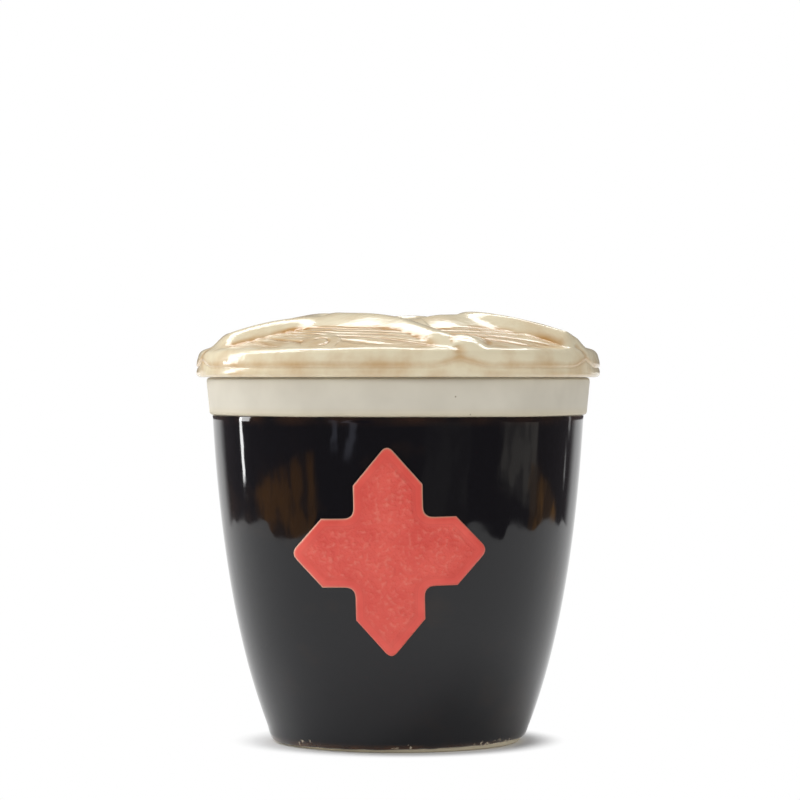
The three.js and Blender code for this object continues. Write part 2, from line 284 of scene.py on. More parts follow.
def creamGlazeMaterial():
    material, tree, shader = newMaterial("creamGlaze", {"Roughness": 0.14, "IOR": 1.6})
    place = addNode(tree, "ShaderNodeTexCoord").outputs["Object"]
    pool = addNode(tree, "ShaderNodeAttribute", {"attribute_name": "pool"}).outputs["Fac"]
    clouds = addNode(tree, "ShaderNodeTexNoise", {"Scale": 1 / (creamGlaze["cloud"] * mm), "Detail": 4.0},
                     {"Vector": place})
    drift = addNode(tree, "ShaderNodeMapRange",
                    {"From Min": 0.3, "From Max": 0.7, "To Min": -0.2, "To Max": 0.3},
                    {"Value": clouds.outputs["Fac"]})
    # Grooves combed into the clay: each whole number of "comb" is one groove
    comb = addNode(tree, "ShaderNodeAttribute", {"attribute_name": "comb"}).outputs["Fac"]
    combed = addNode(tree, "ShaderNodeAttribute", {"attribute_name": "combed"}).outputs["Fac"]
    apart = addNode(tree, "ShaderNodeMath", {"operation": "PINGPONG", 1: 0.5}, {0: comb})
    trough = addNode(tree, "ShaderNodeMapRange",
                     {"interpolation_type": "SMOOTHSTEP", "From Min": petals["lineWidth"], "From Max": 0.0},
                     {"Value": apart.outputs[0]})
    groove = addNode(tree, "ShaderNodeMath", {"operation": "MULTIPLY"},
                     {0: trough.outputs["Result"], 1: combed})
    poolAndShade = addNode(tree, "ShaderNodeMath", {"operation": "MULTIPLY_ADD", 1: 0.4},
                     {0: groove.outputs[0], 2: pool})
    depth = addNode(tree, "ShaderNodeMath", {"operation": "ADD", "use_clamp": True},
                    {0: poolAndShade.outputs[0], 1: drift.outputs["Result"]})
    colour = addNode(tree, "ShaderNodeMix",
                     {"data_type": "RGBA", 6: hexColour(creamGlaze["proud"]),
                      7: hexColour(creamGlaze["poolAndShade"])}, {0: depth.outputs[0]})
    tree.links.new(colour.outputs[2], shader.inputs["Base Color"])
    ripple = addNode(tree, "ShaderNodeTexNoise", {"Scale": 1 / (creamGlaze["ripple"] * mm), "Detail": 2.0},
                     {"Vector": place})
    bump = addNode(tree, "ShaderNodeBump", {"Strength": 0.3, "Distance": 0.3 * mm},
                   {"Height": ripple.outputs["Fac"]})
    lined = addNode(tree, "ShaderNodeBump",
                    {"Strength": 0.6, "Distance": creamGlaze["lineBump"] * mm, "invert": True},
                    {"Height": groove.outputs[0], "Normal": bump.outputs["Normal"]})
    tree.links.new(lined.outputs["Normal"], shader.inputs["Normal"])
    return material


# Curve of the glazed wall, which the pot, the coats and the medallion share
wall = {"footRadius": 30.8, "bellyRadius": 43, "bellyHeight": 28.5, "shoulderRadius": 46,
        "shoulderHeight": 80.7}


# Outside of the glazed wall at a height
def wallRadius(height):
    rise = 2 * wall["bellyHeight"]
    bend = wall["shoulderHeight"] - rise
    t = 2 * height / (rise + math.sqrt(rise * rise + 4 * bend * height))
    return ((1 - t) ** 2 * wall["footRadius"] + 2 * t * (1 - t) * wall["bellyRadius"]
            + t * t * wall["shoulderRadius"])


def wallPoints(inset, low, high, steps):
    heights = [low + (high - low) * step / steps for step in range(steps + 1)]
    return [(wallRadius(height) - inset, height) for height in heights]


# Clay pot with a thick collar round its mouth and a recess inside its foot ring
pot = {"height": 90, "collarRadius": 47.5, "collarTaper": 0.7, "collarEdge": 1.0, "collarWave": 0.22,
       "collarDents": 0.0012, "skin": 0.7, "clayWall": 3.5, "lip": 2, "floor": 5.5, "floorCorner": 7,
       "footChamfer": 0.7, "footRound": 1.4, "recessRadius": 24, "recessDepth": 1.5, "steps": 192}


# Inside of the pot from its floor up to a height
def cavityPoints(inset, top, steps):
    depth = pot["skin"] + pot["clayWall"] + inset
    floor = pot["floor"] + inset
    cornerTop = floor + pot["floorCorner"]
    cornerRadius = wallRadius(floor) - depth
    points = [(0, floor)]
    points += roundCorner((cornerRadius - pot["floorCorner"], floor), (cornerRadius, floor),
                          (wallRadius(cornerTop) - depth, cornerTop), 8)
    points += wallPoints(depth, cornerTop, wall["shoulderHeight"], steps)[1:]
    points.append((wall["shoulderRadius"] - depth, top))
    return points


def makePot():
    edge, rim, collar = pot["collarEdge"], pot["height"], pot["collarRadius"]
    recess, recessTop = pot["recessRadius"], pot["recessDepth"]
    foot = wallRadius(0) - pot["skin"]
    footTop = pot["footRound"]
    shoulder = wall["shoulderHeight"]
    collarLow = collar - pot["collarTaper"]
    mouth = wall["shoulderRadius"] - pot["skin"] - pot["clayWall"]
    profile = [(0, recessTop), (recess - 0.5, recessTop), (recess, recessTop - 0.4), (recess + 0.3, 0.3),
               (recess + 0.7, 0)]
    profile += roundCorner((foot - pot["footChamfer"], 0), (foot, 0),
                           (wallRadius(footTop) - pot["skin"], footTop), 4)
    profile += wallPoints(pot["skin"], 2.0, shoulder - 0.4, 20)
    profile += roundCorner((collarLow - edge, shoulder), (collarLow, shoulder),
                           (collarLow, shoulder + edge), 5)
    profile += roundCorner((collar, rim - edge), (collar, rim), (collar - edge, rim), 5)
    profile += roundCorner((mouth + edge, rim), (mouth, rim), (mouth, rim - edge), 4)
    profile += cavityPoints(0, rim - pot["lip"], 12)[::-1]
    bm = turnProfile(profile, pot["steps"], closed=False)
    for vert in bm.verts:
        x, y, z = vert.co / mm
        radius = math.hypot(x, y)
        if radius > mouth + 2 and z > shoulder - 0.2:
            # The collar's lower edge was trimmed by hand
            low = 1 - smoothStep(z, shoulder + 1, shoulder + 4)
            vert.co.z += pot["collarWave"] * low * uneven(x, y, 0, 16, 3.1) * mm
            vert.co.xy *= 1 - pot["collarDents"] * (0.5 + 0.5 * uneven(x, y, z, 12, 1.7))
    makePiece(bm, "clayPot", "jar", "stoneware_pot",
              stonewareMaterial(wall["shoulderHeight"]))


# Black coat from under the collar to a wavy edge over the bare foot
coat = {"thickness": 0.6, "foot": 0.95, "footWave": 0.35, "footSlope": 0.9, "topGap": 0.12, "bead": 0.16,
        "ripple": 0.07, "steps": 192, "rows": 60}


def makeCoat():
    top = wall["shoulderHeight"] - coat["topGap"]
    outside = wallPoints(0, coat["foot"] + 0.3, top - 0.04, coat["rows"])
    inside = wallPoints(coat["thickness"], coat["foot"], top, 12)[::-1]
    lowEdge = (wallRadius(coat["foot"]) - 0.25, coat["foot"])
    topEdge = (wallRadius(top) - 0.02, top)
    bm = turnProfile([lowEdge] + outside + [topEdge] + inside, coat["steps"])
    for vert in bm.verts:
        x, y, z = vert.co / mm
        low = 1 - smoothStep(z, coat["foot"], coat["foot"] + 4)
        side = 0.5 + 0.5 * math.sin(math.radians(bearingOf(x, y)))  # more bare clay towards the right
        wave = 0.6 * uneven(x, y, 0, 9, 5.3) + 0.4 * uneven(x, y, 0, 3, 2.2)
        vert.co.z += low * (coat["footWave"] * wave + coat["footSlope"] * (side - 0.5)) * mm
        swell = coat["bead"] * roll(z - coat["foot"] - 1, 1.6)
        swell += coat["ripple"] * uneven(x, y, 0.35 * z, 13, 7.7)
        vert.co.xy *= 1 + swell / math.hypot(x, y)
    makePiece(bm, "blackGlazeCoat", "jar", "outer_glaze",
              blackGlazeMaterial("blackIronGlaze", coat["foot"], top))


# Dark coat inside, with a wavy edge below the bare rim
liner = {"bond": 0.1, "thickness": 0.4, "top": 88, "topWave": 0.5, "steps": 128}


def makeLiner():
    outside = cavityPoints(liner["bond"], liner["top"], 20)
    inside = cavityPoints(liner["bond"] + liner["thickness"], liner["top"] - 0.1, 20)[::-1]
    bm = turnProfile(outside + inside, liner["steps"], closed=False)
    for vert in bm.verts:
        x, y, z = vert.co / mm
        high = smoothStep(z, liner["top"] - 4, liner["top"])
        vert.co.z += liner["topWave"] * high * uneven(x, y, 0, 10, 9.1) * mm
    makePiece(bm, "innerGlaze", "jar", "liner_glaze",
              blackGlazeMaterial("innerIronGlaze", 0, liner["top"]))


# Raised red ornament: a cross of four pointed arms, with a smooth border and a sunk field
medallion = {"height": 48.7, "offset": -2.1, "turn": 1.3, "thickness": 1.1, "sunk": 0.15,
             "reachUp": 25.6, "reachSide": 23.5, "shoulder": 16, "halfWidth": 8.2, "tipRound": 2.2,
             "cornerRound": 2.5, "border": 1.9, "fieldDepth": 0.28}


# The cross's outline, set in by some distance, as a closed list of points seen from the front
def crossOutline(inset):
    half = medallion["halfWidth"] - inset
    points = []
    for arm in range(4):
        reach = medallion["reachUp"] if arm % 2 == 0 else medallion["reachSide"]
        length = math.hypot(reach - medallion["shoulder"], medallion["halfWidth"])
        across, along = (reach - medallion["shoulder"]) / length, medallion["halfWidth"] / length
        line = medallion["halfWidth"] * reach / length - inset
        tip = line / along
        shoulder = (line - across * half) / along
        share = max(0.25, medallion["tipRound"] - inset) / math.hypot(half, tip - shoulder)
        tipSide = (half * share, tip + (shoulder - tip) * share)
        corner = medallion["cornerRound"] + inset
        flank = [(half, shoulder + (half + corner - shoulder) * (1 - step / 3)) for step in range(3)]
        slope = [(half + (tipSide[0] - half) * step / 4, shoulder + (tipSide[1] - shoulder) * step / 4)
                 for step in range(4)]
        crown = roundCorner(tipSide, (0, tip), (-tipSide[0], tipSide[1]), 6)
        rising = flank + slope
        falling = [(-a, b) for a, b in rising[::-1]]
        turnIn = roundCorner((-half, half + corner), (-half, half), (-half - corner, half), 6)[1:-1]
        angle = arm * math.pi / 2 + math.radians(medallion["turn"])
        cosine, sine = math.cos(angle), math.sin(angle)
        for a, b in rising + crown + falling + turnIn:
            points.append((a * cosine - b * sine, a * sine + b * cosine))
    return points


def makeMedallion():
    rise, border = medallion["thickness"], medallion["border"]
    field = rise - medallion["fieldDepth"]
    # (inset from the outline, height over the glaze, pale edge, stippled field)
    loops = [(0, -medallion["sunk"], 1, 0), (0, 0.45 * rise, 1, 0), (0.1, 0.78 * rise, 0.6, 0),
             (0.32, 0.95 * rise, 0.1, 0), (0.7, rise, 0, 0), (border - 0.25, rise, 0, 0),
             (border + 0.05, rise - 0.06, 0, 0.2), (border + 0.5, field + 0.05, 0, 0.6),
             (border + 0.9, field, 0, 1)]
    loops += [(inset, field, 0, 1) for inset in (4, 5.4, 6.7, 7.6)]
    bm = bmesh.new()
    pale = bm.verts.layers.float.new("pale")
    stippled = bm.verts.layers.float.new("field")
    rings = []
    for inset, lift, paleness, fieldShare in loops:
        ring = []
        for a, b in crossOutline(inset):
            x, z = medallion["offset"] + a, medallion["height"] + b
            radius = wallRadius(z) + lift
            vert = bm.verts.new((x * mm, -math.sqrt(radius * radius - x * x) * mm, z * mm))
            upperLeftHighlight = smoothStep(0.8 * b - 0.6 * a, -10, 4)  # the thin pale edge runs all round; a painted highlight makes it lighter on the upper left, towards the lamps
            vert[pale] = paleness * (0.25 + 0.75 * upperLeftHighlight)
            vert[stippled] = fieldShare
            ring.append(vert)
        rings.append([bm.edges.new(pair) for pair in zip(ring, ring[1:] + ring[:1])])
    for lower, upper in zip(rings, rings[1:]):
        bmesh.ops.bridge_loops(bm, edges=lower + upper)
    bmesh.ops.contextual_create(bm, geom=rings[-1])
    bmesh.ops.contextual_create(bm, geom=rings[0])
    bmesh.ops.triangulate(bm, faces=[face for face in bm.faces if len(face.verts) > 4])
    bmesh.ops.recalc_face_normals(bm, faces=bm.faces)
    makePiece(bm, "redMedallion", "jar", "red_medallion", redEnamelMaterial())


# Lid: a low crown over a thick rolled rim, with heights over its seat
lid = {"seat": 90, "radius": 49.98, "lip": 1.9, "groove": 2.35, "grooveDepth": 0.32, "bandFoot": 2.95,
       "band": 5.2, "bandLean": 0.45, "rimCorner": 6.7, "shelfHeight": 7.1, "shelfRadius": 47,
       "crownRise": 7.9, "hollowDepth": 11, "hollowRadius": 37.3, "scallop": 1.9, "scallopSpan": 9,
       "notch": 0.4, "steps": 540, "rings": 124}

# A whorl of overlapping petals on the crown. A value in brackets is given for each petal in turn, and the
# shares count from 0 at a petal's root to 1 where its ridge comes down to the rim
petals = {
    "ends": (-75, 16, 65, 137, 210),  # bearing where the ridge reaches the rim
    "heights": (2.3, 2.2, 1.7, 1.7, 1.5),  # of the ridge along its arch
    "tails": (2.2, 1.9, 3.4, 2.2, 2.2),  # height of the ridge on its way down
    "tailFades": (4, 6, 2, 4, 4),  # how far in from the rim it has its full height
    "fadeFrom": (-1.2, -1.2, -0.35, -1.2, -1.2),  # shares over which the ridge rises
    "fadeTo": (0.1, 0.1, 0.35, 0.1, 0.1),
    "roots": (1.7, 3.3, 1.8, 3.4, 1.7),  # height of the rounded root
    "rootFades": (4, 4, 0.5, 1, 4),  # how far in from the rim it has its full height
    "rootTops": (40, 22, 41, 22, 40),  # radius of the root's inner end
    "rootFoot": 44.5, "rootTurn": 4.5, "rootLean": 0.7, "rootWidth": 5.6,
    "archRadius": 20.5, "archTurn": 7, "overlap": 1.2, "coil": 0.5, "coilEase": 0.3,
    "frontWidth": 8.6, "backWidth": 3.2, "tailFront": 3.4, "tailBack": 6.2, "tailFrom": 0.55, "tailTo": 0.92,
    "tilt": 1.0, "level": 0.4, "levelRim": 10, "blend": 2, "fillet": 0.6,
    "creaseWidth": 1.5, "poolFrom": 19, "poolFull": 25, "fieldPool": 0.3,
    "lines": 4.6, "lineSwirl": 1.2, "lineBend": 1.6, "lineWidth": 0.36, "lineDepth": 0.1, "handwork": 0.22,
}

# The heart of the flower is a bud, coiled up in a shallow dish
heart = {"radius": 17.5, "fade": 5, "pitch": 5.2, "relief": 0.9, "dish": 1.5, "dishFrom": 6}

# A small hook among the combed lines of the front petal
hook = {"x": -18.4, "y": -39.2, "reach": 4.6, "deep": 1.5, "tight": 1.2, "wide": 3.1, "line": 2.0,
        "open": 215}


# The larger of two heights, with the line where they meet rounded over
def blend(first, second, width):
    near = max(0.0, 1 - abs(first - second) / width)
    return max(first, second) + 0.25 * min(first, second, width) * near * near


# The nearer of two distances, with the corner between them rounded out
def nearest(first, second, width):
    close = max(0.0, 1 - abs(first - second) / width)
    return max(0.0, min(first, second) - 0.25 * width * close * close)


def crownHeight(radius):
    return lid["shelfHeight"] + lid["crownRise"] * (1 - (radius / lid["shelfRadius"]) ** 2)


def onLid(radius, bearing):
    return Vector((radius * math.sin(math.radians(bearing)), -radius * math.cos(math.radians(bearing))))


# The whorl at a place: its height, how deep the glaze pools, and the combed lines and their strength
def whorl(x, y):
    p = petals
    here = Vector((x, y))
    radius, bearing = here.length, bearingOf(x, y)
    fromRim = lid["shelfRadius"] - radius
    reach = lid["shelfRadius"] - p["archRadius"]
    ridge = valley = beside = 0.0
    edge = 99.0  # distance outside the nearest raised form
    for k, end in enumerate(p["ends"]):
        start = p["ends"][k - 1]
        span = (end - start) % 360
        # A petal starts as a rounded root that climbs from the rim beside the last ridge's end
        turn = start + p["rootTurn"]
        low = onLid(p["rootFoot"], turn)
        high = onLid(p["rootTops"][k], turn + p["rootLean"] * (p["rootFoot"] - p["rootTops"][k]))
        along = min(1.0, max(0.0, (here - low).dot(high - low) / (high - low).length_squared))
        rootAway = (here - low - (high - low) * along).length / p["rootWidth"]
        rootTall = p["roots"][k] * (0.75 + along * (1 - along) - 0.3 * along)
        rootTall *= smoothStep(fromRim, -2.2, p["rootFades"][k])
        root = rootTall * roll(rootAway, 1)
        # Its ridge uncoils from the heart, runs along an arch and comes down to the rim
        crestTall, crestAway, width = 0.0, 9.0, p["backWidth"]
        share = ((bearing - start + p["overlap"] * span) % 360) / span - p["overlap"]
        if share < 1.6:
            run, inward = max(share, 0.0), max(-share, 0.0)
            under = 1 - p["coil"] * inward ** 2 / (inward + p["coilEase"])
            arch = p["archRadius"] * under + reach * run ** p["archTurn"]
            rate = reach * p["archTurn"] * run ** (p["archTurn"] - 1)
            rate += p["archRadius"] * p["coil"] * (1 - (p["coilEase"] / (inward + p["coilEase"])) ** 2)
            outward = (radius - arch) / math.hypot(1, rate / (math.radians(span) * arch))
            late = smoothStep(share, p["tailFrom"], p["tailTo"])
            if outward > 0:
                width = (p["frontWidth"] + (p["tailFront"] - p["frontWidth"]) * late) * under
            else:
                width = p["backWidth"] + (p["tailBack"] - p["backWidth"]) * late
            risen = smoothStep(share, p["fadeFrom"][k], p["fadeTo"][k])
            crestTall = p["heights"][k] + (p["tails"][k] - p["heights"][k]) * late
            crestTall *= risen * smoothStep(fromRim, -1, p["tailFades"][k])
            crestAway = abs(outward) / width
            if 0 <= share < 1:
                own = (share, outward, k, span)
                beside = root
            if share > 0.8:
                valley = max(valley, crestTall * roll(crestAway, 1))
        toRoot = smoothStep(crestAway - rootAway, -p["fillet"], p["fillet"])
        apart = nearest(rootAway, crestAway, p["fillet"])
        edge = min(edge, (apart - 1) * (width + (p["rootWidth"] - width) * toRoot))
        ridge = blend(ridge, (crestTall + (rootTall - crestTall) * toRoot) * roll(apart, 1), p["blend"])
    share, outward, k, span = own
    # Between its raised edges a petal leans a little, and the glaze pools along the creases
    onPetal = smoothStep(outward, -p["backWidth"], p["tailFront"])
    lean = p["tilt"] * (share - p["level"]) * onPetal * (1 - min(1.0, ridge / 1.5))
    height = ridge + lean * smoothStep(fromRim, 0, p["levelRim"])
    valley = smoothStep(min(valley, beside), 0.1, 0.5) * roll(valley - beside, 0.6)
    pool = max(roll(edge, p["creaseWidth"]), 0.9 * valley) * smoothStep(fromRim, 0, 2)
    pool *= smoothStep(radius, p["poolFrom"], p["poolFull"])
    pool *= 0.75 + 0.6 * uneven(x, y, 0, 7, 6.1)
    field = p["fieldPool"] * onPetal * smoothStep(edge, -1, 1)
    # Combed lines sweep from the root out over the petal
    depth = max(0.0, fromRim) / (reach - p["frontWidth"])
    comb = (share + p["lineSwirl"] * depth ** p["lineBend"]) * p["lines"] * math.sqrt(span / 72)
    strength = 0.7 + 0.3 * math.sin(2.4 * math.floor(comb + 0.5) + k)
    strength *= smoothStep(fromRim, 0.3, 2) * smoothStep(edge, -0.8, 0.8) * onPetal
    return height, max(pool, field), comb, strength


# The whorl with the heart and the hook set into it
def petalRelief(x, y):
    height, pool, comb, strength = whorl(x, y)
    radius = math.hypot(x, y)
    height += petals["handwork"] * uneven(x, y, 0, 9, 8.3)
    if radius < heart["radius"]:
        inside = 1 - smoothStep(radius, heart["radius"] - heart["fade"], heart["radius"])
        height -= heart["dish"] * (1 - smoothStep(radius, heart["dishFrom"], heart["radius"]))
        turns = (radius / heart["pitch"] - bearingOf(x, y) / 360) % 1
        inside *= smoothStep(radius, 0, 0.5 * heart["pitch"])
        height += inside * heart["relief"] * smoothStep(turns, 0, 0.7) * (1 - smoothStep(turns, 0.74, 1))
        pool = max(pool, 0.7 * inside * roll((turns + 0.45) % 1 - 0.5, 0.2))
    across, deep = x - hook["x"], (y - hook["y"]) / hook["deep"]
    away = math.hypot(across, deep)
    if away < hook["reach"]:
        turn = (math.degrees(math.atan2(deep, across)) - hook["open"]) % 360 / 360
        comb = (away - hook["tight"] - (hook["wide"] - hook["tight"]) * turn) / hook["line"]
        strength = smoothStep(turn, 0.1, 0.25) * smoothStep(1 - turn, 0.2, 0.4) * roll(comb, 0.5)
    return height, pool, comb, strength


def makeLid():
    outer, shelf, groove, depth = lid["radius"], lid["shelfRadius"], lid["groove"], lid["grooveDepth"]
    quarter = [step * math.pi / 32 for step in range(17)]
    profile = [(lid["hollowRadius"] * math.sin(t), lid["hollowDepth"] * math.cos(t)) for t in quarter]
    profile += roundCorner((outer - 1.2, 0), (outer - 0.05, 0), (outer - 0.02, 1.1), 5)
    profile += [(outer - 0.03, 1.4), (outer - 0.12, lid["lip"]), (outer - 0.8 * depth, groove - 0.15),
                (outer - depth, groove), (outer - 0.75 * depth, groove + 0.15),
                (outer - 0.3 * depth, groove + 0.35)]
    bandIn = outer - lid["bandLean"]
    bandMiddle = (lid["bandFoot"] + lid["band"]) / 2
    profile += [(outer, lid["bandFoot"]), (outer - 0.3 * lid["bandLean"], bandMiddle)]
    profile += roundCorner((bandIn, lid["band"]), (bandIn - 0.3, lid["rimCorner"]),
                           (shelf, lid["shelfHeight"]), 8)
    crown = [shelf * (1 - ring / lid["rings"]) for ring in range(1, lid["rings"] + 1)]
    profile += [(radius, crownHeight(radius)) for radius in crown]
    seated = [(radius, lid["seat"] + height) for radius, height in profile]
    bm = turnProfile(seated, lid["steps"], closed=False)
    poolAndShade, combs, combed = (bm.verts.layers.float.new(name) for name in ("pool", "comb", "combed"))
    for vert in bm.verts:
        x, y, z = vert.co / mm
        z -= lid["seat"]
        radius = math.hypot(x, y)
        if radius <= shelf and abs(z - crownHeight(radius)) < 0.01:
            height, vert[poolAndShade], vert[combs], vert[combed] = petalRelief(x, y)
            trough = 1 - smoothStep(abs(vert[combs] - round(vert[combs])), 0, petals["lineWidth"])
            vert.co.z += (height - petals["lineDepth"] * vert[combed] * trough) * mm
        elif radius > shelf:
            # The rim's groove climbs between two petals, where the rim has a notch
            bearing = bearingOf(x, y)
            apart = min(abs((bearing - end - 1 + 180) % 360 - 180) for end in petals["ends"])
            near = max(0.0, 1 - apart / lid["scallopSpan"]) ** 1.5
            part = smoothStep(z, 0.9, groove) * (1 - smoothStep(z, groove + 0.5, lid["shelfHeight"]))
            swell = petalRelief(x, y)[0] * smoothStep(z, lid["band"], lid["shelfHeight"])
            notch = math.exp(-(apart / 1.3) ** 2) * smoothStep(z, groove, lid["band"])
            vert.co.z += (lid["scallop"] * near * part + swell) * mm
            vert.co.xy *= 1 - lid["notch"] * notch / radius
            # Painted shade: tan on the lower half of the band where it turns under, mixed with glaze pooled
            # in the groove and the notch, and darker towards the bottom of the lip under the band
            lipShade = 0.18 * (1 - smoothStep(z, 1.2, groove))
            vert[poolAndShade] = max(0.45 * roll(z - groove - 0.6, 1.3), 0.5 * notch, lipShade)
    makePiece(bm, "petalLid", "lid", "lid_cap", creamGlazeMaterial())


# Ring under the lid that keeps it in the mouth
spigot = {"radius": 40.3, "wall": 3, "depth": 7, "edge": 1.1, "steps": 128}


def makeSpigot():
    outer, inner = spigot["radius"], spigot["radius"] - spigot["wall"]
    seat, low, edge = lid["seat"], lid["seat"] - spigot["depth"], spigot["edge"]
    profile = [(inner, seat)]
    profile += roundCorner((inner, low + edge), (inner, low), (inner + edge, low), 4)
    profile += roundCorner((outer - edge, low), (outer, low), (outer, low + edge), 4)
    profile.append((outer, seat))
    bm = turnProfile(profile, spigot["steps"])
    for vert in bm.verts:
        x, y, z = vert.co / mm
        vert.co.xy *= 1 + 0.001 * uneven(x, y, z, 9, 4.4) * smoothStep(seat - z, 0.2, 2)
    makePiece(bm, "lidSpigot", "lid", "lid_spigot", stonewareMaterial(low))


makePot()
makeCoat()
makeLiner()
makeMedallion()
makeLid()
makeSpigot()


# Oval white table, in metres: seen directly or in a gloss it is plain white, but it keeps the shadow around
# the jar. Things along its edge break up the line between table and room that the gloss shows
table = {"width": 0.69, "depth": 0.96, "back": 0.25, "shadowFrom": 0.032, "shadowTo": 0.042,
         "shadeTo": 0.105, "steps": 240, "clutter": 0.1, "clutterSize": 0.1}


def makeTable():
    bm = bmesh.new()
    bmesh.ops.create_circle(bm, cap_ends=True, segments=table["steps"], radius=0.5)
    for vert in bm.verts:
        vert.co.xy *= 1 + table["clutter"] * uneven(vert.co.x, vert.co.y, 0, table["clutterSize"], 3.1)
    bmesh.ops.scale(bm, verts=bm.verts, vec=(table["width"], table["depth"], 1))
    bmesh.ops.translate(bm, verts=bm.verts, vec=(0, table["back"], 0))
    mesh = bpy.data.meshes.new("table")
    bm.to_mesh(mesh)
    bm.free()
    material, tree, shader = newMaterial("whiteLaminate",
                                         {"Base Color": hexColour("F4F4F4"), "Roughness": 0.6})
    place = addNode(tree, "ShaderNodeTexCoord").outputs["Object"]
    away = addNode(tree, "ShaderNodeVectorMath", {"operation": "LENGTH"}, {0: place})
    rays = addNode(tree, "ShaderNodeLightPath")
    shares = []
    for ray, reach in (("Is Camera Ray", table["shadowTo"]), ("Is Glossy Ray", table["shadeTo"])):
        clear = addNode(tree, "ShaderNodeMapRange",
                        {"interpolation_type": "SMOOTHSTEP", "From Min": table["shadowFrom"],
                         "From Max": reach}, {"Value": away.outputs["Value"]})
        shares.append(addNode(tree, "ShaderNodeMath", {"operation": "MULTIPLY"},
                              {0: rays.outputs[ray], 1: clear.outputs["Result"]}))
    share = addNode(tree, "ShaderNodeMath", {"operation": "MAXIMUM"},
                    {0: shares[0].outputs[0], 1: shares[1].outputs[0]})
    white = addNode(tree, "ShaderNodeEmission", {"Strength": 1.0})
    mixed = addNode(tree, "ShaderNodeMixShader", None,
                    {0: share.outputs[0], 1: shader.outputs[0], 2: white.outputs[0]})
    tree.links.new(mixed.outputs[0], tree.nodes["Material Output"].inputs["Surface"])
    mesh.materials.append(material)
    top = bpy.data.objects.new("table", mesh)
    bpy.context.scene.collection.objects.link(top)


# White sweep all round for the camera. In the gloss only the sweep behind the jar, up to its horizon, is
# white: the rest of the room is darker, with glimpses of walls and furniture
room = {"fill": 0.36, "walls": "605A5C", "sweepFrom": 0.72, "sweepFull": 0.86, "horizon": 0.004,
        "horizonFull": -0.012, "shapes": (6.0, 6.0, 18.0), "sway": 14.0, "softSide": 0.8, "softEnd": 0.006}

# Each has its bearing and half width in degrees, low and high as the sine of the angle over level, colour,
# and how broken up it looks
glimpses = {
    "greyWall": (30, 15, -0.3, -0.04, "7E7A78", 0.6),
    "tealCurtain": (-21, 8, -0.13, 0.1, "123A55", 0.3),
    "windowPost": (-39, 2.4, -0.15, 0.1, "D0D2E6", 0.2),
    "windowEdge": (-30.5, 1.8, -0.17, 0.1, "E4E6FA", 0.2),
    "panel": (83, 14, -0.18, -0.07, "C8C2BA", 0.6),
    "leftWood": (-80, 26, -0.3, -0.155, "DC9E5E", 0.8),
    "rightWood": (107, 16, -0.3, -0.135, "E0A868", 0.7),
    "rightGlint": (129, 1.6, -0.1, -0.08, "FFFFFF", 0.0),
}


